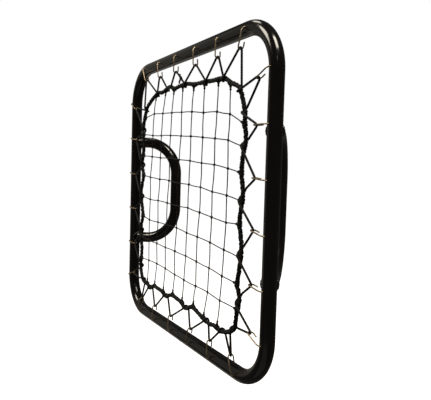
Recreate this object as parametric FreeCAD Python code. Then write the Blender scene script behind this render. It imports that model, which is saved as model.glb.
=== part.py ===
import FreeCAD, Part
import math
import os
from FreeCAD import Vector

# A hand-held rebounder: a rounded square tube frame with an elastic-laced ball net across its front and
# two D-shaped tube handles behind it.  Millimetres.  +X is right seen from the front, +Z is up, and the
# front, where the ball lands, looks along -Y.  The origin is midway between the two grips.

# Frame ring, one bent tube
FRAME_OUTER = 611.4
FRAME_TUBE_R = 12.7
TUBE_WALL = 1.5
FRAME_CORNER_R = 80.0
HALF = FRAME_OUTER / 2 - FRAME_TUBE_R
SEAM_GAP = 1.6
SEAM_BEAD_PROUD = 0.25
SLEEVE_LENGTH = 50.0
SLEEVE_CLEARANCE = 0.04

# Handles, welded to the inner back of the side tubes; the grip is this far behind the ring and inside its tube
HANDLE_TUBE_R = 12.7
HANDLE_DEPTH = 75.2
HANDLE_INWARD = 79.9
HANDLE_LEG_Z = 120.5
HANDLE_BEND_R = 78.0
WELD_LEG = 3.0
RING_Y = -HANDLE_DEPTH

# Wire hooks, six on each side.  In a hook's own plane, "inward" runs from the tube's centreline towards
# the net and "forward" runs from the ring's middle plane towards the front.
HOOK_PITCH = 87.0
HOOKS_PER_SIDE = 6
WIRE_R = 1.25
HOOK_HOLE_R = 1.5
HOOK_TIP_FORWARD = 5.0
HOOK_NECK_FORWARD = 15.0
HOOK_SHANK_INWARD = 6.0
HOOK_SHANK_FORWARD = 17.4
HOOK_EYE_INWARD = 36.0
HOOK_EYE_R = 5.2
HOOK_END_INWARD = 22.5
HOOK_NECK_R = 3.0

# How far each hook leans along its side, in degrees, positive in the direction that the hooks are counted
HOOK_LEANS = {
    "top": (28, 12, 0, 2, 0, -20),
    "right": (23, 0, -5, -10, -7, -22),
    "bottom": (22, 0, -14, -4, -7, -20),
    "left": (18, -3, -3, -6, -8, -28),
}

# Net and its border rope, both centred on one plane
NET_FORWARD = 12.0
NET_Y = RING_Y - NET_FORWARD
NET_CORD_R = 1.1
NET_KNOT_R = 2.6
NET_COLUMNS = 8
NET_ROWS = 8
COLUMN_PITCH = 49.0
ROW_PITCH = 48.1
NET_MIDDLE_X, NET_MIDDLE_Z = 4.0, 2.7
NET_LEAN = 2.3
NET_SLOPE = 2.9

# Where the net's cords end on the border: x along the top and bottom, z up the left and right sides
COLUMN_TOPS = (-143, -91, -49, -6, 42, 83, 136, 179)
COLUMN_BOTTOMS = (-176, -131, -82, -36, 10, 61, 105, 155)
ROW_LEFTS = (175, 136, 86, 39, -11, -59, -110, -162)
ROW_RIGHTS = (135, 96, 54, 7, -33, -88, -135, -177)

# The border rope's route, clockwise (x, z): pulled out where the elastic holds it, in where the net does
ROPE_R = 4.0
BORDER = {
    "top": [
        (-179, 208), (-137, 225), (-110, 225), (-72, 232), (-46, 226), (3, 228),
        (45, 223), (87, 222), (115, 220), (155, 219), (182, 207), (209, 194),
    ],
    "right": [
        (225, 157), (226, 137), (230, 108), (224, 80), (223, 50), (227, 15), (220, -22),
        (229, -72), (222, -110), (218, -134), (227, -158), (220, -188), (211, -215),
    ],
    "bottom": [
        (172, -230), (145, -227), (115, -227), (61, -215), (28, -225), (3, -217), (-40, -214),
        (-67, -223), (-90, -216), (-131, -215), (-157, -224), (-178, -218), (-205, -212),
    ],
    "left": [
        (-219, -178), (-211, -140), (-221, -89), (-212, -52), (-223, -6),
        (-213, 38), (-223, 70), (-210, 108), (-218, 152), (-203, 192),
    ],
}

# Elastic lacing cord.  It runs hook, border, hook, round the whole ring, and its ends meet in one knot.
LACE_R = 2.0
LACE_EYE_BEND_R = 4.3
LACE_CLEARANCE = 0.6
LACE_KNOT_R = 4.0
LACE_KNOT_SHARE = 0.5
LACE_TAIL = 9.0

FORWARD = Vector(0, -1, 0)
X, Z = Vector(1, 0, 0), Vector(0, 0, 1)

# Each side: its outward direction and the direction its hooks are counted along
SIDES = {"top": (Z, X), "right": (X, -Z), "bottom": (-Z, -X), "left": (-X, Z)}

# Where the cord goes round the border between one hook and the next, going clockwise from the first top
# hook: a point (x, z) near the border, and how far along it each strand is from there.  The cord comes
# down behind the border and goes on to the next hook in front of it.
WRAPS = {
    "top": [(-135, 224, 9), (-74, 231, 21), (3, 228, 9), (89, 222, 9), (154, 219, 9), (209, 194, 6)],
    "right": [(225, 157, 7), (228, 103, 8), (226, 15, 13), (228, -77, 11), (226, -159, 10), (212, -214, 4)],
    "bottom": [(172, -229, 2), (115, -227, 1), (28, -224, 2), (-68, -222, 1), (-157, -223, 1), (-204, -212, 4)],
    "left": [(-218, -175, 9), (-221, -88, 9), (-223, -5, 9), (-223, 70, 9), (-217, 153, 9), (-203, 197, 5)],
}


def ring_point(inward, forward, side, along, lean=0.0):
    """A point in the plane of one hook: along the side, then inward and forward, leaning along the side."""
    out, run = SIDES[side]
    turned = math.radians(lean)
    towards = run * math.sin(turned) - out * math.cos(turned)
    return out * HALF + run * along + towards * inward + Vector(0, RING_Y, 0) + FORWARD * forward


def path_of(points, radii, closed=False):
    """A wire of straight runs joined by tangent arcs, one radius for each inner point."""
    count = len(points)
    cuts = []
    for i in range(count):
        if not closed and i in (0, count - 1):
            cuts.append((points[i], None, points[i]))
            continue
        before, here, after = points[i - 1], points[i], points[(i + 1) % count]
        back, on = (before - here).normalize(), (after - here).normalize()
        half = back.getAngle(on) / 2
        reach = radii[i] / math.tan(half)
        middle = here + (back + on).normalize() * (radii[i] / math.sin(half) - radii[i])
        cuts.append((here + back * reach, middle, here + on * reach))
    edges = []
    for i in range(count):
        start, middle, end = cuts[i]
        if middle is not None:
            edges.append(Part.Arc(start, middle, end).toShape())
        if closed or i < count - 1:
            following = cuts[(i + 1) % count][0]
            if (following - end).Length > 1e-4:
                edges.append(Part.LineSegment(end, following).toShape())
    return Part.Wire(edges)


def rod_piece(edge, radius):
    """The stretch of a round bar along one edge, a straight run or an arc."""
    start = edge.valueAt(edge.FirstParameter)
    section = Part.Face(Part.Wire(Part.makeCircle(radius, start, edge.tangentAt(edge.FirstParameter))))
    if isinstance(edge.Curve, Part.Line):
        return section.extrude(edge.valueAt(edge.LastParameter) - start)
    sweep = math.degrees(edge.Length / edge.Curve.Radius)
    return section.revolve(edge.Curve.Center, edge.Curve.Axis, sweep)


def round_rod(points, radii, radius, closed=False):
    """A round bar along path_of, its straight and bent stretches joined into one solid."""
    wire = path_of(points, radii, closed)
    pieces = [rod_piece(edge, radius) for edge in wire.OrderedEdges]
    rod = pieces[0].multiFuse(pieces[1:]).Solids[0] if len(pieces) > 1 else pieces[0]
    wanted = math.pi * radius**2 * wire.Length
    if not rod.isValid() or abs(rod.Volume / wanted - 1) > 0.002:
        raise ValueError(f"rod is off: valid {rod.isValid()}, volume {rod.Volume:.1f} of {wanted:.1f}")
    return rod


def hook_places():
    """Every hook as (name, side, along, lean), in order along each side."""
    for side in SIDES:
        for i in range(HOOKS_PER_SIDE):
            along = (i - (HOOKS_PER_SIDE - 1) / 2) * HOOK_PITCH
            yield f"hook_{side}_{i + 1}", side, along, HOOK_LEANS[side][i]


def frame_bar(radius):
    """The whole ring as a bar of the given radius."""
    middle_bottom = Vector(0, RING_Y, -HALF)
    corners = [Vector(x, RING_Y, z) for x, z in ((HALF, -HALF), (HALF, HALF), (-HALF, HALF), (-HALF, -HALF))]
    route = [middle_bottom, *corners, middle_bottom]
    return round_rod(route, [0] + [FRAME_CORNER_R] * 4 + [0], radius)


def seam_slab():
    size = 4 * FRAME_TUBE_R
    return Part.makeBox(SEAM_GAP, size, size, Vector(-SEAM_GAP / 2, RING_Y - size / 2, -HALF - size / 2))


def frame_tube(bar):
    tube = bar.cut(frame_bar(FRAME_TUBE_R - TUBE_WALL)).cut(seam_slab())
    depth = FRAME_TUBE_R + 2
    holes = [
        Part.makeCylinder(HOOK_HOLE_R, depth, ring_point(0, 0, side, along), FORWARD)
        for _, side, along, _ in hook_places()
    ]
    return tube.cut(Part.makeCompound(holes))


def seam_bead():
    outer, inner = FRAME_TUBE_R + SEAM_BEAD_PROUD, FRAME_TUBE_R - TUBE_WALL
    start = Vector(-SEAM_GAP / 2, RING_Y, -HALF)
    return Part.makeCylinder(outer, SEAM_GAP, start, X).cut(Part.makeCylinder(inner, SEAM_GAP, start, X))


def seam_sleeve():
    outer = FRAME_TUBE_R - TUBE_WALL - SLEEVE_CLEARANCE
    start = Vector(-SLEEVE_LENGTH / 2, RING_Y, -HALF)
    sleeve = Part.makeCylinder(outer, SLEEVE_LENGTH, start, X)
    return sleeve.cut(Part.makeCylinder(outer - TUBE_WALL, SLEEVE_LENGTH, start, X))


def handle_bar(hand, radius):
    """One handle as a bar, from the side tube's centreline and back to it.  hand is -1 left, +1 right."""
    root = hand * HALF
    grip = hand * (HALF - HANDLE_INWARD)
    route = [
        Vector(root, RING_Y, -HANDLE_LEG_Z),
        Vector(grip, 0, -HANDLE_LEG_Z),
        Vector(grip, 0, HANDLE_LEG_Z),
        Vector(root, RING_Y, HANDLE_LEG_Z),
    ]
    return round_rod(route, [0, HANDLE_BEND_R, HANDLE_BEND_R, 0], radius)


def handle(hand, ring_bar):
    tube = handle_bar(hand, HANDLE_TUBE_R).cut(handle_bar(hand, HANDLE_TUBE_R - TUBE_WALL))
    return tube.cut(ring_bar)


def handle_weld(hand, level, ring_bar):
    """The fillet bead round one handle leg where it meets the side tube."""
    root = Vector(hand * HALF, RING_Y, level * HANDLE_LEG_Z)
    along_leg = Vector(-hand * HANDLE_INWARD, HANDLE_DEPTH, 0)
    length = FRAME_TUBE_R + HANDLE_TUBE_R
    collar = Part.makeCylinder(HANDLE_TUBE_R + WELD_LEG, length, root, along_leg)
    low = root - Z * (HANDLE_TUBE_R + 2 * WELD_LEG)
    reach = Part.makeCylinder(FRAME_TUBE_R + WELD_LEG, 2 * (HANDLE_TUBE_R + 2 * WELD_LEG), low, Z)
    leg = Part.makeCylinder(HANDLE_TUBE_R, length, root, along_leg)
    return collar.common(reach).cut(leg).cut(ring_bar)


def hook(side, along, lean):
    """One hook of bent wire: its tip in the tube's hole, its shank over the tube, its eye round the cord."""
    eye_back = HOOK_SHANK_FORWARD - 2 * HOOK_EYE_R
    outline = [
        (0, HOOK_TIP_FORWARD, 0),
        (0, HOOK_NECK_FORWARD, HOOK_NECK_R),
        (HOOK_SHANK_INWARD, HOOK_SHANK_FORWARD, 2 * HOOK_NECK_R),
        (HOOK_EYE_INWARD, HOOK_SHANK_FORWARD, HOOK_EYE_R - 0.01),
        (HOOK_EYE_INWARD, eye_back, HOOK_EYE_R - 0.01),
        (HOOK_END_INWARD, eye_back, 0),
    ]
    points = [ring_point(inward, forward, side, along, lean) for inward, forward, _ in outline]
    return round_rod(points, [bend for _, _, bend in outline], WIRE_R)


def border_points():
    return [Vector(x, NET_Y, z) for side in SIDES for x, z in BORDER[side]]


def easy_bends(points):
    """For each corner of a closed route, the radius of an arc that takes up 0.45 of its shorter run."""
    radii = []
    for i, here in enumerate(points):
        back, on = points[i - 1] - here, points[(i + 1) % len(points)] - here
        radii.append(0.45 * min(back.Length, on.Length) * math.tan(back.getAngle(on) / 2))
    return radii


def border_rope():
    points = border_points()
    return round_rod(points, easy_bends(points), ROPE_R, closed=True)


def net_knot(i, k):
    """Where column i and row k cross.  The net leans and slopes a little and its rows sag at both ends."""
    across, up = i - (NET_COLUMNS - 1) / 2, (NET_ROWS - 1) / 2 - k
    x = NET_MIDDLE_X + COLUMN_PITCH * across + NET_LEAN * up - 0.13 * across * up**2
    z = NET_MIDDLE_Z + ROW_PITCH * up - (NET_SLOPE + 0.15 * up) * across - 0.25 * across**2
    return Vector(x, NET_Y, z)


def border_end(side, place):
    """The point of one side of the border at the given x, or at the given z on the left and right."""
    run = SIDES[side][1]
    wanted = Vector(place, 0, place).dot(run)
    points = border_points()
    for start, end in zip(points, points[1:] + points[:1]):
        low, high = start.dot(run), end.dot(run)
        if low <= wanted <= high:
            return start + (end - start) * ((wanted - low) / (high - low))
    raise ValueError(f"no border at {place} on the {side}")


def net_cord(knots):
    """A straight length between each two neighbouring points, short of the points themselves."""
    lengths = []
    for start, end in zip(knots, knots[1:]):
        way = (end - start).normalize()
        span = (end - start).Length - 2 * NET_CORD_R - 0.4
        lengths.append(Part.makeCylinder(NET_CORD_R, span, start + way * (NET_CORD_R + 0.2), way))
    return lengths


def net_mesh(rope):
    """Upright and level cords knotted where they cross, each ending on the border rope."""
    knots = [[net_knot(i, k) for k in range(NET_ROWS)] for i in range(NET_COLUMNS)]
    cords = []
    for i in range(NET_COLUMNS):
        top, bottom = border_end("top", COLUMN_TOPS[i]), border_end("bottom", COLUMN_BOTTOMS[i])
        cords += net_cord([top] + knots[i] + [bottom])
    for k in range(NET_ROWS):
        left, right = border_end("left", ROW_LEFTS[k]), border_end("right", ROW_RIGHTS[k])
        cords += net_cord([left] + [column[k] for column in knots] + [right])
    balls = [Part.makeSphere(NET_KNOT_R, knot) for column in knots for knot in column]
    whole = cords[0].multiFuse(cords[1:] + balls).cut(rope)
    return max(whole.Solids, key=lambda solid: solid.Volume)


def nearest_on_border(border, place, along):
    """The point of the border's centreline nearest a place, and the outward direction there."""
    back, here, on = (border.distToShape(Part.Vertex(place + along * step))[1][0][0] for step in (-3, 0, 3))
    return here, FORWARD.cross(on - back).normalize()


def wrap_corners(border, place, spread, before, after):
    """The two turns of the cord round the border, behind and then in front, between two hooks' eyes."""
    along = (after - before).normalize()
    off = ROPE_R + LACE_R + LACE_CLEARANCE
    turns = []
    for eye, face, shift in ((before, FORWARD * -1, -spread), (after, FORWARD, spread)):
        centre, outward = nearest_on_border(border, place + along * shift, along)
        away = (eye - centre).dot(outward)
        rise = (away + off) * off / math.sqrt(away**2 - off**2)
        turns.append(centre - outward * off + face * rise)
    return turns


def round_the_eye(eye, arriving, leaving):
    """The corner whose bend is centred on the hook's eye, between the corners before and after it."""
    apex = eye
    for _ in range(15):
        ways = (arriving - apex).normalize(), (leaving - apex).normalize()
        half = ways[0].getAngle(ways[1]) / 2
        apex = eye - (ways[0] + ways[1]).normalize() * (LACE_EYE_BEND_R / math.sin(half))
    return apex


def bend_round_border(here, one, other):
    """The bend at one turn: the rope's size, or less where the turn is short."""
    half = (one - here).getAngle(other - here) / 2
    shorter = min((one - here).Length, (other - here).Length)
    return min(ROPE_R + LACE_R + LACE_CLEARANCE, 0.45 * shorter * math.tan(half))


def lace_route():
    """Corner points and bend radii of the whole cord, from the knot round the ring and back to it."""
    points = border_points()
    border = path_of(points, easy_bends(points), closed=True)
    eyes = [ring_point(HOOK_EYE_INWARD, NET_FORWARD, *place) for _, *place in hook_places()]
    wraps = [wrap for side in SIDES for wrap in WRAPS[side]]
    turns = [
        wrap_corners(border, Vector(x, NET_Y, z), spread, eyes[i], eyes[(i + 1) % len(eyes)])
        for i, (x, z, spread) in enumerate(wraps)
    ]
    points, radii = [], []
    for i, eye in enumerate(eyes):
        points += [round_the_eye(eye, turns[i - 1][1], turns[i][0])] + turns[i]
    for i, here in enumerate(points):
        bend = bend_round_border(here, points[i - 1], points[(i + 1) % len(points)])
        radii.append(bend if i % 3 else LACE_EYE_BEND_R)
    third_hook = 3 * (3 - 1)
    knot = points[third_hook] + (points[third_hook + 1] - points[third_hook]) * LACE_KNOT_SHARE
    points = [knot] + points[third_hook + 1 :] + points[: third_hook + 1] + [knot]
    radii = [0] + radii[third_hook + 1 :] + radii[: third_hook + 1] + [0]
    return points, radii


def lacing():
    """The elastic cord and the knot its two ends are tied in."""
    points, radii = lace_route()
    cord = round_rod(points, radii, LACE_R)
    tightest = min(bend for bend in radii if bend)
    print(f"lacing cord {path_of(points, radii).Length:.0f} mm, tightest bend {tightest:.1f} mm")
    knot = Part.makeSphere(LACE_KNOT_R, points[0])
    for way in (Vector(0.3, -0.5, 1), Vector(-0.8, -0.6, -0.2)):
        knot = knot.fuse(Part.makeCylinder(LACE_R, LACE_TAIL, points[0], way))
    return cord.cut(knot), knot


def make_parts():
    ring_bar = frame_bar(FRAME_TUBE_R)
    rope = border_rope()
    cord, knot = lacing()
    parts = {
        "frame_tube": frame_tube(ring_bar),
        "frame_seam_bead": seam_bead(),
        "frame_seam_sleeve": seam_sleeve(),
        "net_mesh": net_mesh(rope),
        "border_rope": rope,
        "bungee_lacing": cord,
        "bungee_knot": knot,
    }
    for hand, name in ((-1, "left"), (1, "right")):
        parts[f"{name}_handle"] = handle(hand, ring_bar)
        for level, place in ((1, "upper"), (-1, "lower")):
            parts[f"{name}_handle_{place}_weld"] = handle_weld(hand, level, ring_bar)
    for name, side, along, lean in hook_places():
        parts[name] = hook(side, along, lean)
    return parts


os.makedirs("parts", exist_ok=True)
for node, shape in make_parts().items():
    print(f"{node}: {len(shape.Solids)} solid, valid {shape.isValid()}, {shape.Volume / 1000:.1f} cm3")
    shape.exportStep(f"parts/{node}.step")
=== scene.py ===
import math
import random

import bpy
import numpy as np
from mathutils import Matrix, Vector


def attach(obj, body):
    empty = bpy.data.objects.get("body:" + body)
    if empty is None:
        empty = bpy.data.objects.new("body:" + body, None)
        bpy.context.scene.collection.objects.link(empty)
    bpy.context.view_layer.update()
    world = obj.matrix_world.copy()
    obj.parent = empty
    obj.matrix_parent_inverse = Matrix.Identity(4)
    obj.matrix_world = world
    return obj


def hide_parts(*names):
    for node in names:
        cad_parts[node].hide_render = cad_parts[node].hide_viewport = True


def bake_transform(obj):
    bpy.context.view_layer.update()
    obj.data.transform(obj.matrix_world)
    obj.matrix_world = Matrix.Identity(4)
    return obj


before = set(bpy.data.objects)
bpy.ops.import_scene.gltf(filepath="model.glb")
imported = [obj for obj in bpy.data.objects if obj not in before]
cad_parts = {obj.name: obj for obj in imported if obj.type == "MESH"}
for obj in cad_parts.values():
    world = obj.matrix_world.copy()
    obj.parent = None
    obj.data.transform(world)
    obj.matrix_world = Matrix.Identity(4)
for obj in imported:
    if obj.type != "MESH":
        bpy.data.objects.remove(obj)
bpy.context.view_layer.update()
random.seed(7)

# ---------------------------------------------------------------- sizes, in metres
# They are the CAD's, but the hook holes are 0.1 mm and the twine 0.05 mm larger in radius, and the elastic
# cord runs 0.8 mm closer to the border's centre line
MM = 0.001
FRAME_TUBE_R = 12.7 * MM
HALF = 293 * MM
FRAME_CORNER_R = 80 * MM
HANDLE_TUBE_R = 12.7 * MM
HANDLE_DEPTH = 75.2 * MM
HANDLE_INWARD = 79.9 * MM
HANDLE_LEG_Z = 120.5 * MM
HANDLE_BEND_R = 78 * MM
RING_Y = -HANDLE_DEPTH

HOOK_PITCH = 87 * MM
HOOKS_PER_SIDE = 6
WIRE_R = 1.25 * MM
HOOK_HOLE_R = 1.6 * MM
HOOK_TIP_FORWARD = 5 * MM
HOOK_NECK_FORWARD = 15 * MM
HOOK_SHANK_INWARD = 6 * MM
HOOK_SHANK_FORWARD = 17.4 * MM
HOOK_EYE_INWARD = 36 * MM
HOOK_EYE_R = 5.2 * MM
HOOK_END_INWARD = 22.5 * MM
HOOK_NECK_R = 3 * MM
# How far each hook leans along its side, in degrees, clockwise seen from the front
HOOK_LEANS = {
    "top": (28, 12, 0, 2, 0, -20),
    "right": (23, 0, -5, -10, -7, -22),
    "bottom": (22, 0, -14, -4, -7, -20),
    "left": (18, -3, -3, -6, -8, -28),
}

NET_FORWARD = 12 * MM
NET_Y = RING_Y - NET_FORWARD
TWINE_R = 1.15 * MM
NET_COLUMNS = 8
NET_ROWS = 8
COLUMN_PITCH = 49 * MM
ROW_PITCH = 48.1 * MM
NET_MIDDLE_X, NET_MIDDLE_Z = 4 * MM, 2.7 * MM
NET_LEAN = 2.3 * MM
NET_SLOPE = 2.9 * MM
COLUMN_BOW = 0.13 * MM
SLOPE_CHANGE = 0.15 * MM
ROW_SAG = 0.25 * MM

# Where the net's cords end on the border, in millimetres: x on the top and bottom, z on the left and right.
# Like HOOK_LEANS, BORDER and WRAPS, these come from points read off the photo and worked back to the
# net's plane with the fitted camera
COLUMN_TOPS = (-143, -91, -49, -6, 42, 83, 136, 179)
COLUMN_BOTTOMS = (-176, -131, -82, -36, 10, 61, 105, 155)
ROW_LEFTS = (175, 136, 86, 39, -11, -59, -110, -162)
ROW_RIGHTS = (135, 96, 54, 7, -33, -88, -135, -177)

ROPE_STRAND_R = 2.25 * MM
ROPE_STRAND_OFF = 1.75 * MM
ROPE_LAY = 26 * MM
# The border rope's route, clockwise, in millimetres (x, z)
BORDER = {
    "top": [
        (-179, 208), (-137, 225), (-110, 225), (-72, 232), (-46, 226), (3, 228),
        (45, 223), (87, 222), (115, 220), (155, 219), (182, 207), (209, 194),
    ],
    "right": [
        (225, 157), (226, 137), (230, 108), (224, 80), (223, 50), (227, 15), (220, -22),
        (229, -72), (222, -110), (218, -134), (227, -158), (220, -188), (211, -215),
    ],
    "bottom": [
        (172, -230), (145, -227), (115, -227), (61, -215), (28, -225), (3, -217), (-40, -214),
        (-67, -223), (-90, -216), (-131, -215), (-157, -224), (-178, -218), (-205, -212),
    ],
    "left": [
        (-219, -178), (-211, -140), (-221, -89), (-212, -52), (-223, -6),
        (-213, 38), (-223, 70), (-210, 108), (-218, 152), (-203, 192),
    ],
}

LACE_R = 2.0 * MM
LACE_OFF = 5.8 * MM
LACE_KNOT_SHARE = 0.5

# Finer sizes that only the visual shapes have
TWINE_LAY = 6.5 * MM
PLY_OFF = TWINE_R * 0.5
PLY_R = TWINE_R * 0.56
CORD_SWAY = 0.35  # standard deviation, in millimetres
WINDING_OFF = 3.7 * MM
WINDING_R = TWINE_R * 0.75
BORDER_STEP = 1.3 * MM
GATHER_LENGTH = 10.5 * MM
GATHER_HALF_WIDTH = 5.5 * MM
LASHING_WIDTH = 8.5 * MM
TUBE_END_BULGE = 0.35

FORWARD = Vector((0, -1, 0))
AXIS_X, AXIS_Z = Vector((1, 0, 0)), Vector((0, 0, 1))
SIDES = {
    "top": (AXIS_Z, AXIS_X),
    "right": (AXIS_X, -AXIS_Z),
    "bottom": (-AXIS_Z, -AXIS_X),
    "left": (-AXIS_X, AXIS_Z),
}

# Where the elastic cord goes round the border between one hook and the next, clockwise from the first top
# hook, in millimetres: a point (x, z) near the border, and how far along it each strand is from there
WRAPS = {
    "top": [
        (-135, 224, 9), (-74, 231, 21), (3, 228, 9), (89, 222, 9), (154, 219, 9), (209, 194, 6),
    ],
    "right": [
        (225, 157, 7), (228, 103, 8), (226, 15, 13), (228, -77, 11), (226, -159, 10), (212, -214, 4),
    ],
    "bottom": [
        (172, -229, 2), (115, -227, 1), (28, -224, 2), (-68, -222, 1), (-157, -223, 1), (-204, -212, 4),
    ],
    "left": [
        (-218, -175, 9), (-221, -88, 9), (-223, -5, 9), (-223, 70, 9), (-217, 153, 9), (-203, 197, 5),
    ],
}


# ---------------------------------------------------------------- camera
# The photograph's view, fitted to the ring's outline: angles in degrees, focal length in millimetres
CAMERA_AZIMUTH = 59.87
CAMERA_ELEVATION = 3.55
CAMERA_ROLL = 1.66
CAMERA_PLACE = (0.9225, RING_Y - 0.4677, 0.0592)
CAMERA_SENSOR = 36
CAMERA_LENS = 41.88


def make_camera():
    """The photograph's view: from the right of the front, almost level, with a slight roll."""
    azimuth, elevation, roll = (math.radians(a) for a in (CAMERA_AZIMUTH, CAMERA_ELEVATION, CAMERA_ROLL))
    look = Vector((
        -math.sin(azimuth) * math.cos(elevation),
        math.cos(azimuth) * math.cos(elevation),
        -math.sin(elevation),
    ))
    right = Vector((math.cos(azimuth), math.sin(azimuth), 0))
    up = right.cross(look)
    right, up = (
        right * math.cos(roll) + up * math.sin(roll),
        up * math.cos(roll) - right * math.sin(roll),
    )
    data = bpy.data.cameras.new("camera")
    data.sensor_width = CAMERA_SENSOR
    data.lens = CAMERA_LENS
    data.clip_start = 0.01
    camera = bpy.data.objects.new("camera", data)
    camera.matrix_world = Matrix((
        (right.x, up.x, -look.x, CAMERA_PLACE[0]),
        (right.y, up.y, -look.y, CAMERA_PLACE[1]),
        (right.z, up.z, -look.z, CAMERA_PLACE[2]),
        (0, 0, 0, 1),
    ))
    bpy.context.scene.collection.objects.link(camera)
    bpy.context.scene.camera = camera
    bpy.context.scene.view_settings.view_transform = "Standard"


# ---------------------------------------------------------------- mesh making
def rows(points):
    """The points as rows of an array."""
    return np.array([tuple(p) for p in points], float)


def measured(pts, closed):
    """The distance along a path at each point, a closed path's whole length last, and each unit tangent."""
    steps = np.roll(pts, -1, 0) - pts if closed else np.diff(pts, axis=0)
    lengths = np.linalg.norm(steps, axis=1)
    unit = steps / lengths[:, None]
    if closed:
        tangents = unit + np.roll(unit, 1, 0)
    else:
        tangents = np.vstack([unit[:1], unit[1:] + unit[:-1], unit[-1:]])
    tangents /= np.linalg.norm(tangents, axis=1)[:, None]
    return np.concatenate([[0], np.cumsum(lengths)]), tangents


class Shell:
    """Collects swept tubes and turns them into one mesh object with a UV map: u along in metres, v round."""

    def __init__(self):
        self.verts, self.faces, self.uvs, self.count = [], [], [], 0

    def tube(self, points, radius, sides, closed=False, shape=None):
        """Sweeps a circle along points and closes both ends of an open path with a low point.

        shape(u, angle) scales the radius, u being the distance along.
        """
        pts = rows(points)
        n = len(pts)
        run, tangents = measured(pts, closed)
        normals = transported(tangents, closed)
        binormals = np.cross(tangents, normals)
        angles = np.arange(sides) * 2 * math.pi / sides
        radii = np.full((n, sides), radius)
        if shape is not None:
            radii = radius * shape(run[:n, None], angles[None, :])
        ring = (
            normals[:, None] * np.cos(angles)[None, :, None]
            + binormals[:, None] * np.sin(angles)[None, :, None]
        )
        verts = pts[:, None] + ring * radii[:, :, None]
        base = self.count
        self.verts.append(verts.reshape(-1, 3))
        self.count += n * sides
        for i in range(n if closed else n - 1):
            here, on = base + i * sides, base + (i + 1) % n * sides
            for k in range(sides):
                m = (k + 1) % sides
                self.faces.append((here + k, here + m, on + m, on + k))
                u0, u1, v0, v1 = run[i], run[i + 1], k / sides, (k + 1) / sides
                self.uvs += [(u0, v0), (u0, v1), (u1, v1), (u1, v0)]
        if not closed:
            for i, order in ((0, -1), (n - 1, 1)):
                centre = pts[i] + tangents[i] * radius * TUBE_END_BULGE * order
                self.verts.append(centre[None])
                tip = self.count
                self.count += 1
                for k in range(sides):
                    m = (k + 1) % sides
                    a, b = base + i * sides + k, base + i * sides + m
                    self.faces.append((a, b, tip) if order > 0 else (b, a, tip))
                    u, v, next_v = run[i], k / sides, (k + 1) / sides
                    self.uvs += [(u, v), (u, next_v), (u + radius, v)]

    def build(self, name, material):
        mesh = bpy.data.meshes.new(name)
        mesh.from_pydata(np.vstack(self.verts).tolist(), [], self.faces)
        layer = mesh.uv_layers.new(name="UVMap")
        layer.data.foreach_set("uv", np.array(self.uvs, np.float32).ravel())
        mesh.polygons.foreach_set("use_smooth", [True] * len(mesh.polygons))
        mesh.materials.append(material)
        mesh.validate()
        piece = bpy.data.objects.new(name, mesh)
        bpy.context.scene.collection.objects.link(piece)
        return piece


def transported(tangents, closed):
    """A normal at each point, carried along the path without twist."""
    first = tangents[0]
    other = np.array([0, 0, 1.0]) if abs(first[2]) < 0.9 else np.array([0, 1.0, 0])
    normal = np.cross(first, other)
    normal /= np.linalg.norm(normal)
    normals = [normal]
    for before, after in zip(tangents[:-1], tangents[1:]):
        normals.append(carry(normals[-1], before, after))
    normals = np.array(normals)
    if closed:
        back = carry(normals[-1], tangents[-1], tangents[0])
        side = np.cross(tangents[0], normals[0])
        gap = math.atan2(back @ side, back @ normals[0])
        turn = -gap * np.arange(len(normals)) / len(normals)
        sides = np.cross(tangents, normals)
        normals = normals * np.cos(turn)[:, None] + sides * np.sin(turn)[:, None]
    return normals


def carry(normal, before, after):
    """The normal at the next point, turned with the path from one direction to the next."""
    axis = np.cross(before, after)
    size = np.linalg.norm(axis)
    if size > 1e-9:
        axis /= size
        angle = math.atan2(size, before @ after)
        normal = (
            normal * math.cos(angle)
            + np.cross(axis, normal) * math.sin(angle)
            + axis * (axis @ normal) * (1 - math.cos(angle))
        )
    normal = normal - after * (normal @ after)
    return normal / np.linalg.norm(normal)


def filleted(corners, radii, step=6.0, closed=False):
    """Points along straight runs joined by tangent arcs, one radius for each corner, step in degrees."""
    out = []
    count = len(corners)
    for i, here in enumerate(corners):
        if not closed and i in (0, count - 1) or radii[i] == 0:
            out.append(here.copy())
            continue
        back = (corners[i - 1] - here).normalized()
        on = (corners[(i + 1) % count] - here).normalized()
        half = back.angle(on) / 2
        centre = here + (back + on).normalized() * (radii[i] / math.sin(half))
        start = here + back * (radii[i] / math.tan(half))
        sweep = math.pi - 2 * half
        arm, along = start - centre, -back
        turns = max(2, math.ceil(math.degrees(sweep) / step))
        for k in range(turns + 1):
            angle = sweep * k / turns
            out.append(centre + arm * math.cos(angle) + along * (radii[i] * math.sin(angle)))
    return out


def spaced(points, step, closed=False):
    """The same path with points evenly spaced, about step apart."""
    pts = rows(points)
    if closed:
        pts = np.vstack([pts, pts[:1]])
    gaps = np.linalg.norm(np.diff(pts, axis=0), axis=1)
    keep = np.concatenate([[True], gaps > 1e-7])
    pts = pts[keep]
    run = np.concatenate([[0], np.cumsum(np.linalg.norm(np.diff(pts, axis=0), axis=1))])
    count = max(2, int(round(run[-1] / step)))
    at = np.linspace(0, run[-1], count + 1)
    new = np.stack([np.interp(at, run, pts[:, c]) for c in range(3)], 1)
    return new[:-1] if closed else new


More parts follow.
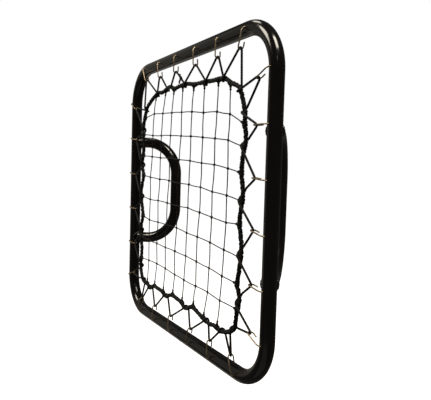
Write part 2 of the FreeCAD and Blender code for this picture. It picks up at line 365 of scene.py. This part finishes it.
def curved(knots, step, closed=False):
    """A smooth Catmull-Rom path through the knots, evenly spaced."""
    pts = rows(knots)
    n = len(pts)
    if closed:
        padded = np.vstack([pts[-1:], pts, pts[:2]])
        spans = n
    else:
        padded = np.vstack([2 * pts[:1] - pts[1:2], pts, 2 * pts[-1:] - pts[-2:-1]])
        spans = n - 1
    per_span = 12
    t = np.linspace(0, 1, per_span, endpoint=False)[:, None]
    out = []
    for i in range(spans):
        a, b, c, d = padded[i : i + 4]
        square, cube = 2 * a - 5 * b + 4 * c - d, 3 * b - a - 3 * c + d
        out.append(0.5 * (2 * b + (c - a) * t + square * t**2 + cube * t**3))
    out = np.vstack(out + ([] if closed else [pts[-1:]]))
    return spaced(out, step, closed)


def strand_paths(points, offset, lay, strands, closed=False, phase=0.0, wobble=None):
    """The helical paths of a laid rope's strands round a centre path.  wobble(run) scales their offset."""
    pts = rows(points)
    run, tangents = measured(pts, closed)
    normals = transported(tangents, closed)
    binormals = np.cross(tangents, normals)
    turns = run[-1] / lay
    if closed:
        turns = max(1, round(turns))
    share = run[: len(pts)] / run[-1]
    for s in range(strands):
        angle = 2 * math.pi * (turns * share + s / strands) + phase
        reach = offset if wobble is None else offset * wobble(run[: len(pts)])
        across, up = reach * np.cos(angle), reach * np.sin(angle)
        yield pts + normals * across[:, None] + binormals * up[:, None]


# ---------------------------------------------------------------- materials
def node_material(name):
    """A new material with its nodes, its links and its main shader."""
    material = bpy.data.materials.new(name)
    material.use_nodes = True
    nodes, links = material.node_tree.nodes, material.node_tree.links
    return material, nodes, links, nodes["Principled BSDF"]


def add(nodes, kind, **settings):
    """A node with its properties, and its inputs given as in_NAME or as in_NUMBER."""
    node = nodes.new(kind)
    for key, value in settings.items():
        if key.startswith("in_"):
            label = key[3:]
            node.inputs[int(label) if label.isdigit() else label.replace("_", " ")].default_value = value
        else:
            setattr(node, key, value)
    return node


def ramp(nodes, stops):
    """A colour ramp: (position, grey or colour) for each stop."""
    node = nodes.new("ShaderNodeValToRGB")
    elements = node.color_ramp.elements
    while len(elements) < len(stops):
        elements.new(0.5)
    for element, (position, colour) in zip(elements, stops):
        element.position = position
        element.color = (*colour, 1) if isinstance(colour, tuple) else (colour, colour, colour, 1)
    return node


def powder_coat():
    """Gloss black powder coat: a fine orange peel, faint dust and a few rubbed places."""
    material, nodes, links, shader = node_material("black_powder_coat")
    place = add(nodes, "ShaderNodeTexCoord")
    peel = add(nodes, "ShaderNodeTexNoise", in_Scale=420.0, in_Detail=3.0, in_Roughness=0.55)
    swell = add(nodes, "ShaderNodeTexNoise", in_Scale=55.0, in_Detail=2.0)
    dust = add(nodes, "ShaderNodeTexNoise", in_Scale=14.0, in_Detail=8.0, in_Roughness=0.7)
    for node in (peel, swell, dust):
        links.new(place.outputs["Object"], node.inputs["Vector"])
    tone = ramp(nodes, [(0.35, (0.0022, 0.0021, 0.0021)), (0.75, (0.0052, 0.0048, 0.0045))])
    links.new(dust.outputs["Fac"], tone.inputs["Fac"])
    links.new(tone.outputs["Color"], shader.inputs["Base Color"])
    rough = ramp(nodes, [(0.3, 0.13), (0.8, 0.21)])
    links.new(dust.outputs["Fac"], rough.inputs["Fac"])
    links.new(rough.outputs["Color"], shader.inputs["Roughness"])
    low = add(nodes, "ShaderNodeBump", in_Strength=0.05, in_Distance=0.0012)
    fine = add(nodes, "ShaderNodeBump", in_Strength=0.06, in_Distance=0.0003)
    links.new(swell.outputs["Fac"], low.inputs["Height"])
    links.new(peel.outputs["Fac"], fine.inputs["Height"])
    links.new(low.outputs["Normal"], fine.inputs["Normal"])
    links.new(fine.outputs["Normal"], shader.inputs["Normal"])
    shader.inputs["Specular IOR Level"].default_value = 0.5
    shader.inputs["Coat Weight"].default_value = 0.3
    shader.inputs["Coat Roughness"].default_value = 0.06
    return material


def hook_wire():
    """Zinc-plated spring wire: a warm grey metal with drawing lines and patches of dulled plating."""
    material, nodes, links, shader = node_material("hook_wire")
    where = add(nodes, "ShaderNodeUVMap")
    place = add(nodes, "ShaderNodeTexCoord")
    stretch = add(nodes, "ShaderNodeMapping")
    stretch.inputs["Scale"].default_value = (60.0, 26.0, 1.0)
    links.new(where.outputs["UV"], stretch.inputs["Vector"])
    lines = add(nodes, "ShaderNodeTexNoise", in_Scale=1.0, in_Detail=4.0, in_Roughness=0.6)
    links.new(stretch.outputs["Vector"], lines.inputs["Vector"])
    patches = add(nodes, "ShaderNodeTexNoise", in_Scale=95.0, in_Detail=5.0)
    links.new(place.outputs["Object"], patches.inputs["Vector"])
    tone = ramp(nodes, [(0.3, (0.18, 0.125, 0.07)), (0.52, (0.42, 0.33, 0.21)), (0.75, (0.66, 0.58, 0.45))])
    links.new(patches.outputs["Fac"], tone.inputs["Fac"])
    links.new(tone.outputs["Color"], shader.inputs["Base Color"])
    rough = ramp(nodes, [(0.3, 0.24), (0.75, 0.48)])
    links.new(patches.outputs["Fac"], rough.inputs["Fac"])
    links.new(rough.outputs["Color"], shader.inputs["Roughness"])
    shader.inputs["Metallic"].default_value = 0.7
    bump = add(nodes, "ShaderNodeBump", in_Strength=0.2, in_Distance=0.0001)
    links.new(lines.outputs["Fac"], bump.inputs["Height"])
    links.new(bump.outputs["Normal"], shader.inputs["Normal"])
    return material


def fibre(name, dark, light, roughness, sheen, along, around, braid=None):
    """Black cord: fine fibres that run along it, or with braid=(along, around) a diamond braided sleeve with
    painted shade in its grooves.
    """
    material, nodes, links, shader = node_material(name)
    where = add(nodes, "ShaderNodeUVMap")
    place = add(nodes, "ShaderNodeTexCoord")
    stretch = add(nodes, "ShaderNodeMapping")
    stretch.inputs["Scale"].default_value = (along, around, 1.0)
    links.new(where.outputs["UV"], stretch.inputs["Vector"])
    hairs = add(nodes, "ShaderNodeTexNoise", in_Scale=1.0, in_Detail=4.0, in_Roughness=0.65)
    links.new(stretch.outputs["Vector"], hairs.inputs["Vector"])
    wear = add(nodes, "ShaderNodeTexNoise", in_Scale=60.0, in_Detail=5.0)
    links.new(place.outputs["Object"], wear.inputs["Vector"])
    height = hairs.outputs["Fac"]
    if braid:
        height = braid_height(nodes, links, where, braid, height)
    # The colour follows the same height as the bump: fibre tone and wear, and on a braid also painted shade
    # that darkens the grooves between the yarns
    mixed = add(nodes, "ShaderNodeMath", operation="MULTIPLY")
    links.new(height, mixed.inputs[0])
    links.new(wear.outputs["Fac"], mixed.inputs[1])
    tone = ramp(nodes, [(0.1, dark), (0.5, light)])
    links.new(mixed.outputs["Value"], tone.inputs["Fac"])
    links.new(tone.outputs["Color"], shader.inputs["Base Color"])
    shader.inputs["Roughness"].default_value = roughness
    shader.inputs["Specular IOR Level"].default_value = 0.2
    shader.inputs["Sheen Weight"].default_value = sheen
    shader.inputs["Sheen Roughness"].default_value = 0.5
    bump = add(nodes, "ShaderNodeBump", in_Strength=0.6, in_Distance=0.0003)
    links.new(height, bump.inputs["Height"])
    links.new(bump.outputs["Normal"], shader.inputs["Normal"])
    return material


def braid_height(nodes, links, where, braid, hairs):
    """Two sets of diagonal yarns: the higher of two crossing waves, used for the bump and to paint the
    grooves darker as shade.
    """
    split = add(nodes, "ShaderNodeSeparateXYZ")
    links.new(where.outputs["UV"], split.inputs["Vector"])
    waves = []
    for sense in (1, -1):
        across = add(nodes, "ShaderNodeMath", operation="MULTIPLY", in_1=2 * math.pi * braid[1] * sense)
        along = add(nodes, "ShaderNodeMath", operation="MULTIPLY_ADD", in_1=2 * math.pi * braid[0])
        wave = add(nodes, "ShaderNodeMath", operation="SINE")
        links.new(split.outputs["Y"], across.inputs[0])
        links.new(split.outputs["X"], along.inputs[0])
        links.new(across.outputs[0], along.inputs[2])
        links.new(along.outputs[0], wave.inputs[0])
        waves.append(wave)
    top = add(nodes, "ShaderNodeMath", operation="MAXIMUM")
    links.new(waves[0].outputs[0], top.inputs[0])
    links.new(waves[1].outputs[0], top.inputs[1])
    rest = add(nodes, "ShaderNodeMath", operation="MULTIPLY_ADD", in_1=0.5, in_2=0.3)
    links.new(top.outputs[0], rest.inputs[0])
    total = add(nodes, "ShaderNodeMath", operation="MULTIPLY_ADD", in_1=0.25)
    links.new(hairs, total.inputs[0])
    links.new(rest.outputs[0], total.inputs[2])
    return total.outputs[0]


def bare_steel():
    """The sleeve inside the seam: mill-finish tube, drawn along its length."""
    material, nodes, links, shader = node_material("bare_steel")
    place = add(nodes, "ShaderNodeTexCoord")
    stretch = add(nodes, "ShaderNodeMapping")
    stretch.inputs["Scale"].default_value = (30.0, 900.0, 900.0)
    links.new(place.outputs["Object"], stretch.inputs["Vector"])
    lines = add(nodes, "ShaderNodeTexNoise", in_Scale=1.0, in_Detail=4.0)
    links.new(stretch.outputs["Vector"], lines.inputs["Vector"])
    tone = ramp(nodes, [(0.3, (0.3, 0.3, 0.31)), (0.7, (0.52, 0.52, 0.53))])
    links.new(lines.outputs["Fac"], tone.inputs["Fac"])
    links.new(tone.outputs["Color"], shader.inputs["Base Color"])
    shader.inputs["Metallic"].default_value = 1.0
    shader.inputs["Roughness"].default_value = 0.38
    bump = add(nodes, "ShaderNodeBump", in_Strength=0.3, in_Distance=0.0001)
    links.new(lines.outputs["Fac"], bump.inputs["Height"])
    links.new(bump.outputs["Normal"], shader.inputs["Normal"])
    return material


COAT = powder_coat()
WIRE = hook_wire()
TWINE = fibre(
    "net_twine", dark=(0.003, 0.003, 0.003), light=(0.014, 0.013, 0.012),
    roughness=0.62, sheen=0.1, along=900.0, around=9.0,
)
ROPE = fibre(
    "border_rope", dark=(0.002, 0.002, 0.002), light=(0.012, 0.011, 0.010),
    roughness=0.75, sheen=0.12, along=700.0, around=14.0,
)
ELASTIC = fibre(
    "bungee_cord", dark=(0.002, 0.002, 0.002), light=(0.012, 0.0115, 0.011),
    roughness=0.6, sheen=0.12, along=1500.0, around=24.0, braid=(260.0, 4.0),
)
STEEL = bare_steel()


# ---------------------------------------------------------------- frame, handles and welds
def frame_ring():
    """The bent tube, with a blind hole for each hook along its front."""
    corners = [Vector((x * HALF, RING_Y, z * HALF)) for x, z in ((-1, -1), (1, -1), (1, 1), (-1, 1))]
    route = spaced(filleted(corners, [FRAME_CORNER_R] * 4, step=2.0, closed=True), 5 * MM, closed=True)
    shell = Shell()
    shell.tube(route, FRAME_TUBE_R, 72, closed=True)
    ring = shell.build("frame_ring", COAT)
    drill_holes(ring)
    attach(ring, "frame")
    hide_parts("frame_tube")


def drill_holes(ring):
    """Cuts the hooks' holes, each from outside the tube's front to a little in front of its axis."""
    bottom, outside = 4 * MM, 15 * MM
    cutters = Shell()
    for _, side, along, _ in hook_places():
        ends = [ring_point(0, forward, side, along) for forward in (bottom, outside)]
        cutters.tube(spaced(ends, 5 * MM), HOOK_HOLE_R, 24)
    cutter = cutters.build("hole_cutter", COAT)
    cut = ring.modifiers.new("holes", "BOOLEAN")
    cut.operation, cut.object, cut.solver = "DIFFERENCE", cutter, "EXACT"
    graph = bpy.context.evaluated_depsgraph_get()
    made = bpy.data.meshes.new_from_object(ring.evaluated_get(graph))
    ring.modifiers.clear()
    ring.data = made
    bpy.data.objects.remove(cutter)
    made.polygons.foreach_set("use_smooth", [True] * len(made.polygons))
    made.set_sharp_from_angle(angle=math.radians(40))


def seam_bead():
    """The dressed weld round the bottom of the ring, a low rounded band under the paint."""
    count, bead_r = 96, 0.42 * MM
    ripple_height, ripple_pitch = 0.12, 2.2 * MM
    shell = Shell()
    loop = [
        Vector((0, RING_Y + math.cos(a) * FRAME_TUBE_R, -HALF + math.sin(a) * FRAME_TUBE_R))
        for a in (2 * math.pi * k / count for k in range(count))
    ]

    def shape(u, angle):
        ripple = 1 + ripple_height * np.sin(u / ripple_pitch * 2 * math.pi)
        return ripple * np.ones_like(angle)

    shell.tube(loop, bead_r, 12, closed=True, shape=shape)
    bead = shell.build("seam_weld", COAT)
    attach(bead, "frame")
    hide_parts("frame_seam_bead")


def handle(hand, name):
    """One D-shaped handle, whose legs start inside the ring's side tube."""
    root, grip = hand * HALF, hand * (HALF - HANDLE_INWARD)
    start_out = FRAME_TUBE_R * 0.8
    reach = Vector((-hand * HANDLE_INWARD, HANDLE_DEPTH, 0)).normalized() * start_out
    corners = [
        Vector((root, RING_Y, -HANDLE_LEG_Z)) + reach,
        Vector((grip, 0, -HANDLE_LEG_Z)),
        Vector((grip, 0, HANDLE_LEG_Z)),
        Vector((root, RING_Y, HANDLE_LEG_Z)) + reach,
    ]
    route = spaced(filleted(corners, [0, HANDLE_BEND_R, HANDLE_BEND_R, 0], 2.0), 3 * MM)
    shell = Shell()
    shell.tube(route, HANDLE_TUBE_R, 64)
    piece = shell.build(f"{name}_grip_tube", COAT)
    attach(piece, "frame")
    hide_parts(f"{name}_handle")


def handle_weld(hand, level, name):
    """A rippled fillet bead along the saddle where a handle leg meets the side tube."""
    along_leg = Vector((-hand * HANDLE_INWARD, HANDLE_DEPTH, 0)).normalized()
    across = along_leg.cross(AXIS_Z)
    root = Vector((hand * HALF, RING_Y, level * HANDLE_LEG_Z))
    count, bead_r = 180, 2.5 * MM
    leg_r, ring_r = HANDLE_TUBE_R + 0.5 * MM, FRAME_TUBE_R + 0.3 * MM
    widest = FRAME_TUBE_R - 0.4 * MM
    scallop_pitch, drift_pitch = 4.6 * MM, 17 * MM
    loop = []
    for k in range(count):
        a = 2 * math.pi * k / count
        sideways, upright = leg_r * math.cos(a), leg_r * math.sin(a)
        depth = math.sqrt(ring_r**2 - min(sideways**2, widest**2))
        loop.append(root + along_leg * depth + across * sideways + AXIS_Z * upright)
    loop = spaced(loop, 0.5 * MM, True)
    phase = random.uniform(0, 6)

    def shape(u, angle):
        scallop = np.abs(np.sin(u / scallop_pitch * math.pi + phase))
        drift = np.sin(u / drift_pitch * 2 * math.pi)
        return (0.84 + 0.22 * scallop + 0.05 * drift) * np.ones_like(angle)

    shell = Shell()
    shell.tube(loop, bead_r, 20, closed=True, shape=shape)
    piece = shell.build(f"{name}_bead", COAT)
    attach(piece, "frame")
    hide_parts(f"{name}_weld")


# ---------------------------------------------------------------- hooks
def ring_point(inward, forward, side, along, lean=0.0):
    """A point in the plane of one hook: along the side, then inward and forward, leaning along the side."""
    out, run = SIDES[side]
    turned = math.radians(lean)
    towards = run * math.sin(turned) - out * math.cos(turned)
    return out * HALF + run * along + towards * inward + Vector((0, RING_Y, 0)) + FORWARD * forward


def hook_places():
    """Each hook's name, its side, its place along the side and its lean, clockwise from the top left."""
    for side in SIDES:
        for i in range(HOOKS_PER_SIDE):
            along = (i - (HOOKS_PER_SIDE - 1) / 2) * HOOK_PITCH
            yield f"hook_{side}_{i + 1}", side, along, HOOK_LEANS[side][i]


def hook(name, side, along, lean):
    """A wire hook: out of its hole, inward to an eye round the cord, and part of the way back."""
    bow_r, eye_bend = 50 * MM, HOOK_EYE_R * 0.98
    eye_back = HOOK_SHANK_FORWARD - 2 * HOOK_EYE_R
    closing = random.uniform(-0.3, 1.1) * MM
    end = HOOK_END_INWARD + random.uniform(-1.0, 1.0) * MM
    bow = random.uniform(-0.5, 0.5) * MM
    outline = [
        (0, HOOK_TIP_FORWARD, 0),
        (0, HOOK_NECK_FORWARD, HOOK_NECK_R),
        (HOOK_SHANK_INWARD, HOOK_SHANK_FORWARD, 2 * HOOK_NECK_R),
        ((HOOK_SHANK_INWARD + HOOK_EYE_INWARD) / 2, HOOK_SHANK_FORWARD + bow, bow_r),
        (HOOK_EYE_INWARD, HOOK_SHANK_FORWARD, eye_bend),
        (HOOK_EYE_INWARD, eye_back, eye_bend),
        (end, eye_back + closing, 0),
    ]
    corners = [ring_point(inward, forward, side, along, lean) for inward, forward, _ in outline]
    route = spaced(filleted(corners, [bend for _, _, bend in outline], 8.0), 0.7 * MM)
    shell = Shell()
    shell.tube(route, WIRE_R, 16)
    piece = shell.build(name + "_wire", WIRE)
    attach(piece, "frame")
    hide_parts(name)


# ---------------------------------------------------------------- border rope
def border_line():
    """The border's centre line: a curve through the CAD's route, pulled inward a little by each net cord."""
    pull_depth, pull_width = 1.5 * MM, 7 * MM
    wave_depth, waves_x, waves_z = 0.7 * MM, 35, 50
    knots = [Vector((x * MM, NET_Y, z * MM)) for side in SIDES for x, z in BORDER[side]]
    line = curved(knots, BORDER_STEP, closed=True)
    ends = [nearest_on_line(line, end)[0] for end in cord_ends(line)]
    out = []
    for i, row in enumerate(line):
        point = Vector(row)
        _, outward = directions(line, i)
        pull = sum(pull_depth * math.exp(-(((point - end).length / pull_width) ** 2)) for end in ends)
        depth = wave_depth * math.sin(waves_x * point.x + waves_z * point.z)
        out.append(point - outward * pull + Vector((0, depth, 0)))
    return rows(out)


def directions(line, i):
    """The direction of the border at its point i, and outward there."""
    along = (Vector(line[(i + 3) % len(line)]) - Vector(line[i - 3])).normalized()
    return along, FORWARD.cross(along).normalized()


def nearest_on_line(line, point):
    """The border line's point nearest point, its direction, and the outward direction there."""
    i = int(np.argmin(np.linalg.norm(line - np.array(tuple(point)), axis=1)))
    return (Vector(line[i]), *directions(line, i))


def cord_ends(line):
    """Where the net's cords meet the border: columns from left to right, then rows from the top."""
    for x_top, x_bottom in zip(COLUMN_TOPS, COLUMN_BOTTOMS):
        yield border_end(line, "top", x_top * MM)
        yield border_end(line, "bottom", x_bottom * MM)
    for z_left, z_right in zip(ROW_LEFTS, ROW_RIGHTS):
        yield border_end(line, "left", z_left * MM)
        yield border_end(line, "right", z_right * MM)


def border_end(line, side, place):
    """The point of one side of the border at the given x, or at the given z on the left and right."""
    out, run = SIDES[side]
    least_out = 150 * MM
    wanted = Vector((place, 0, place)).dot(run)
    near = [p for p in (Vector(row) for row in line) if p.dot(out) > least_out]
    return min(near, key=lambda p: abs(p.dot(run) - wanted))


def border_rope(line):
    """A three-strand rope with the net's edge twine wound unevenly round it."""
    shell = Shell()
    for path in strand_paths(line, ROPE_STRAND_OFF, ROPE_LAY, 3, closed=True):
        shell.tube(path, ROPE_STRAND_R, 12, closed=True)
    rope = shell.build("edge_rope", ROPE)
    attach(rope, "net")
    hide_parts("border_rope")
    wound = Shell()

    def wobble(run):
        slow, quick = (np.sin(run / pitch * 2 * math.pi) for pitch in (31 * MM, 13 * MM))
        return 1 + 0.05 * slow + 0.04 * quick

    for phase, lay in ((0.0, 9.5 * MM), (2.4, 17 * MM)):
        for path in strand_paths(line, WINDING_OFF, lay, 1, closed=True, phase=phase, wobble=wobble):
            wound.tube(path, WINDING_R, 8, closed=True)
    winding = wound.build("edge_winding", TWINE)
    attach(winding, "net")
    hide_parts("border_rope")


# ---------------------------------------------------------------- net
def net_knot(i, k):
    """Where column i and row k cross.  The net leans and slopes a little and its rows sag at both ends."""
    across, up = i - (NET_COLUMNS - 1) / 2, (NET_ROWS - 1) / 2 - k
    x = NET_MIDDLE_X + COLUMN_PITCH * across + NET_LEAN * up - COLUMN_BOW * across * up**2
    z = NET_MIDDLE_Z + ROW_PITCH * up - (NET_SLOPE + SLOPE_CHANGE * up) * across - ROW_SAG * across**2
    return Vector((x, NET_Y, z))


def net_knots():
    """The 64 crossings, slightly uneven as in a hand-tied net."""
    uneven = {}
    for i in range(NET_COLUMNS):
        for k in range(NET_ROWS):
            shift = Vector([random.gauss(0, spread) for spread in (0.9, 0.7, 0.9)]) * MM
            uneven[i, k] = net_knot(i, k) + shift
    return uneven


def laid_twine(shell, route):
    """One length of three-ply twine."""
    centre = curved(route, 1.6 * MM)
    for path in strand_paths(centre, PLY_OFF, TWINE_LAY, 3, phase=random.uniform(0, 6)):
        shell.tube(path, PLY_R, 6)


def knot_loops(shell, centre, size, twine):
    """A drawn-up knot: a flattened trefoil of twine."""
    turn = Matrix.Rotation(random.uniform(0, 2 * math.pi), 3, "Y")
    tilt = Matrix.Rotation(random.uniform(-0.4, 0.4), 3, "X")
    count, trefoil_reach = 44, 3.2
    loop = []
    for k in range(count):
        t = 2 * math.pi * k / count
        local = Vector((
            math.sin(t) + 2 * math.sin(2 * t),
            -math.sin(3 * t) * 1.1,
            math.cos(t) - 2 * math.cos(2 * t),
        ))
        local = Vector((local.x * 0.85, local.y, local.z * 1.1))
        loop.append(centre + turn @ (tilt @ (local * (size / trefoil_reach))))
    shell.tube(loop, twine, 7, closed=True)


def net(line):
    """The cords with their gathers at the border, and a knot at each crossing."""
    knots = net_knots()
    cords, ties = Shell(), Shell()
    ends = list(cord_ends(line))
    columns, rows = ends[: 2 * NET_COLUMNS], ends[2 * NET_COLUMNS :]
    for i in range(NET_COLUMNS):
        inner = [knots[i, k] for k in range(NET_ROWS)]
        net_cord(cords, ties, line, columns[2 * i], inner, columns[2 * i + 1])
    for k in range(NET_ROWS):
        inner = [knots[i, k] for i in range(NET_COLUMNS)]
        net_cord(cords, ties, line, rows[2 * k], inner, rows[2 * k + 1])
    for centre in knots.values():
        knot_loops(ties, centre, 1.9 * MM, TWINE_R * 1.2)
    for shell, name in ((cords, "net_cords"), (ties, "net_knots")):
        piece = shell.build(name, TWINE)
        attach(piece, "net")
        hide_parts("net_mesh")


def net_cord(cords, ties, line, first, inner, last):
    """One cord from border to border through its knots, with a gather at each end."""
    tips = []
    for end, neighbour in ((first, inner[0]), (last, inner[-1])):
        here, along, outward = nearest_on_line(line, end)
        way = (neighbour - here).normalized()
        tips.append(here + way * GATHER_LENGTH)
        edge_gather(ties, line, here, along, outward, tips[-1])
    route = [tips[0], *inner, tips[1]]
    middles = []
    for a, b in zip(route[:-1], route[1:]):
        sway = Vector([random.gauss(0, CORD_SWAY) for _ in range(3)]) * MM
        middles += [a, (a + b) / 2 + sway]
    laid_twine(cords, middles + [route[-1]])


def edge_gather(ties, line, here, along, outward, tip):
    """The net's edge drawn up to a point beside the rope and lashed round it with a few close turns."""
    foot_inward = 2.2 * MM
    for spread in (-1.0, -0.6, -0.2, 0.2, 0.6, 1.0):
        foot = nearest_on_line(line, here + along * (spread * GATHER_HALF_WIDTH))[0] - outward * foot_inward
        middle = (foot + tip) / 2 - along * (spread * 0.4 * MM) + FORWARD * random.uniform(-0.6, 0.6) * MM
        ties.tube(curved([foot, middle, tip], 1.2 * MM), TWINE_R * 1.05, 7)
    turns, steps = 3.4, 60
    coil_r, coil_ripple = 4.2, 0.15
    coil = []
    for k in range(steps + 1):
        share = k / steps - 0.5
        wanted = here + along * (share * LASHING_WIDTH)
        centre, _, out = nearest_on_line(line, wanted)
        centre += along * (wanted - centre).dot(along)
        angle = 2 * math.pi * turns * share + math.pi
        reach = (coil_r + coil_ripple * math.sin(5 * angle)) * MM
        coil.append(centre + (out * math.cos(angle) + FORWARD * math.sin(angle)) * reach)
    ties.tube(coil, TWINE_R * 0.85, 7)
    knot_loops(ties, tip, 1.5 * MM, TWINE_R * 1.1)


# ---------------------------------------------------------------- elastic lacing
def wrap_path(line, place, spread, before, after):
    """The cord's helix round the border: from behind it, under its inner side, and out in front of it."""
    along = (after - before).normalized()
    ends = []
    for eye, shift in ((before, -spread), (after, spread)):
        centre, _, outward = nearest_on_line(line, place + along * shift)
        away = (eye - centre).dot(outward)
        ends.append((centre, outward, math.acos(LACE_OFF / away)))
    behind, front = -ends[0][2], ends[1][2] - 2 * math.pi
    points = []
    steps = 24
    for k in range(steps + 1):
        share = k / steps
        wanted = ends[0][0].lerp(ends[1][0], share)
        centre, tangent, _ = nearest_on_line(line, wanted)
        centre += tangent * (wanted - centre).dot(tangent)
        outward = ends[0][1].lerp(ends[1][1], share).normalized()
        angle = behind + (front - behind) * share
        points.append(centre + (outward * math.cos(angle) + FORWARD * math.sin(angle)) * LACE_OFF)
    return points


def eased(points, rounds):
    """The same path with its kinks smoothed and its two ends kept."""
    pts = rows(points)
    for _ in range(rounds):
        pts[1:-1] = 0.25 * pts[:-2] + 0.5 * pts[1:-1] + 0.25 * pts[2:]
    return pts


def round_the_eye(eye, arriving, leaving, bend_r):
    """The cord's arc round a hook's wire, between the strands that arrive from and leave for two points."""
    apex = eye
    for _ in range(15):
        ways = (arriving - apex).normalized(), (leaving - apex).normalized()
        half = ways[0].angle(ways[1]) / 2
        apex = eye - (ways[0] + ways[1]).normalized() * (bend_r / math.sin(half))
    return filleted([arriving, apex, leaving], [0, bend_r, 0], 8.0)[1:-1]


def lacing(line):
    """The elastic cord, in one length for each hook, each from border to hook and back to border."""
    places = list(hook_places())
    wraps = [
        (Vector((x * MM, NET_Y, z * MM)), spread * MM)
        for side in SIDES
        for x, z, spread in WRAPS[side]
    ]
    slack = 0.1 * MM
    bend_r = WIRE_R + LACE_R + slack
    eyes = [ring_point(HOOK_EYE_INWARD, NET_FORWARD, side, along, lean) for _, side, along, lean in places]
    turns = [
        wrap_path(line, place, spread, eyes[i], eyes[(i + 1) % len(eyes)])
        for i, (place, spread) in enumerate(wraps)
    ]
    half = len(turns[0]) // 2
    for i, (name, *_) in enumerate(places):
        arriving, leaving = turns[i - 1][half:], turns[i][: half + 1]
        arc = round_the_eye(eyes[i], arriving[-1], leaving[0], bend_r)
        route = eased(spaced(arriving + arc + leaving, 0.9 * MM), 4)
        shell = Shell()
        shell.tube(route, LACE_R, 14)
        piece = shell.build(name.replace("hook", "lace"), ELASTIC)
        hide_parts("bungee_lacing")
        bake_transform(piece)
        if name == "hook_top_3":
            lace_knot(arc[-1].lerp(leaving[0], LACE_KNOT_SHARE), leaving[0] - arc[-1])


def lace_knot(centre, strand):
    """The knot the cord's two ends are tied in: a tight lump along the strand with two short tails."""
    shell = Shell()
    way = strand.normalized()
    side = way.cross(FORWARD).normalized()
    for shift in (-1.9, 1.9):
        knot_loops(shell, centre + way * shift * MM, 2.5 * MM, LACE_R * 0.85)
    for sense, lean, reach in ((1, 0.5, 11), (-1, -0.8, 9)):
        towards = (side * 0.9 * sense + way * lean + FORWARD * 0.3).normalized()
        tail = centre + towards * (reach * MM)
        bend = centre.lerp(tail, 0.55) + FORWARD * 1.2 * MM
        shell.tube(curved([centre, bend, tail], 1.0 * MM), LACE_R * 0.9, 12)
    piece = shell.build("lace_knot", ELASTIC)
    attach(piece, "net")
    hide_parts("bungee_knot")


# ---------------------------------------------------------------- studio
# Soft boxes round the ring's middle: azimuth and elevation in degrees, then distance, side of the square and
# radiance
LIGHTS = (
    (-4, 59, 2.5, 0.95, 15),
    (-114, 45, 2.5, 0.95, 10),
    (-28, 31, 3.0, 0.25, 3),
    (-172, 64, 2.5, 0.6, 5),
    (-160, 8, 3.5, 3.6, 0.16),
    (-60, -50, 3.0, 3.0, 0.1),
    (168, -31, 3.0, 2.6, 0.24),
)
FLOOR_HALF = 30.0
FLOOR_Z = -0.75


def white_floor():
    """A bright floor that the camera sees and that neither lights nor shades the object."""
    floor_mesh = bpy.data.meshes.new("floor")
    corners = [(x * FLOOR_HALF, y * FLOOR_HALF, FLOOR_Z) for x, y in ((-1, -1), (1, -1), (1, 1), (-1, 1))]
    floor_mesh.from_pydata(corners, [], [(0, 1, 2, 3)])
    material, _, _, shader = node_material("floor")
    shader.inputs["Base Color"].default_value = (0.9, 0.9, 0.9, 1)
    shader.inputs["Roughness"].default_value = 0.9
    shader.inputs["Emission Color"].default_value = (1, 1, 1, 1)
    shader.inputs["Emission Strength"].default_value = 1.0
    floor_mesh.materials.append(material)
    floor = bpy.data.objects.new("floor", floor_mesh)
    bpy.context.scene.collection.objects.link(floor)
    floor.visible_glossy = False
    floor.visible_diffuse = False
    floor.visible_shadow = False


def white_world():
    """White where the camera looks straight at it, dim and warm for everything else."""
    world = bpy.data.worlds.new("world")
    bpy.context.scene.world = world
    world.use_nodes = True
    nodes, links = world.node_tree.nodes, world.node_tree.links
    seen = nodes["Background"]
    seen.inputs["Color"].default_value = (1, 1, 1, 1)
    seen.inputs["Strength"].default_value = 1.0
    dim = add(nodes, "ShaderNodeBackground")
    dim.inputs["Color"].default_value = (1.0, 0.93, 0.84, 1)
    dim.inputs["Strength"].default_value = 0.05
    path = add(nodes, "ShaderNodeLightPath")
    mix = add(nodes, "ShaderNodeMixShader")
    links.new(path.outputs["Is Camera Ray"], mix.inputs["Fac"])
    links.new(dim.outputs["Background"], mix.inputs[1])
    links.new(seen.outputs["Background"], mix.inputs[2])
    links.new(mix.outputs["Shader"], nodes["World Output"].inputs["Surface"])


def studio():
    """The floor, the world and the soft boxes."""
    white_floor()
    white_world()
    middle = Vector((0, RING_Y, 0))
    for azimuth, elevation, distance, size, radiance in LIGHTS:
        round_z, up = math.radians(azimuth), math.radians(elevation)
        way = Vector((math.cos(round_z) * math.cos(up), math.sin(round_z) * math.cos(up), math.sin(up)))
        soft_light(middle + way * distance, middle, size, radiance)


def soft_light(place, target, size, radiance):
    """A square warm area light that faces the target."""
    data = bpy.data.lights.new("soft_box", "AREA")
    data.shape, data.size, data.energy = "SQUARE", size, radiance * math.pi * size**2
    data.color = (1.0, 0.93, 0.8)
    light = bpy.data.objects.new("soft_box", data)
    light.location = place
    light.rotation_euler = (target - place).to_track_quat("-Z", "Y").to_euler()
    bpy.context.scene.collection.objects.link(light)


# ---------------------------------------------------------------- assembly
make_camera()
frame_ring()
seam_bead()
for hand, name in ((-1, "left"), (1, "right")):
    handle(hand, name)
    for level, place in ((1, "upper"), (-1, "lower")):
        handle_weld(hand, level, f"{name}_handle_{place}")
for name, side, along, lean in hook_places():
    hook(name, side, along, lean)
LINE = border_line()
border_rope(LINE)
net(LINE)
lacing(LINE)
studio()

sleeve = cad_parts["frame_seam_sleeve"]
sleeve.data.materials.clear()
sleeve.data.materials.append(STEEL)
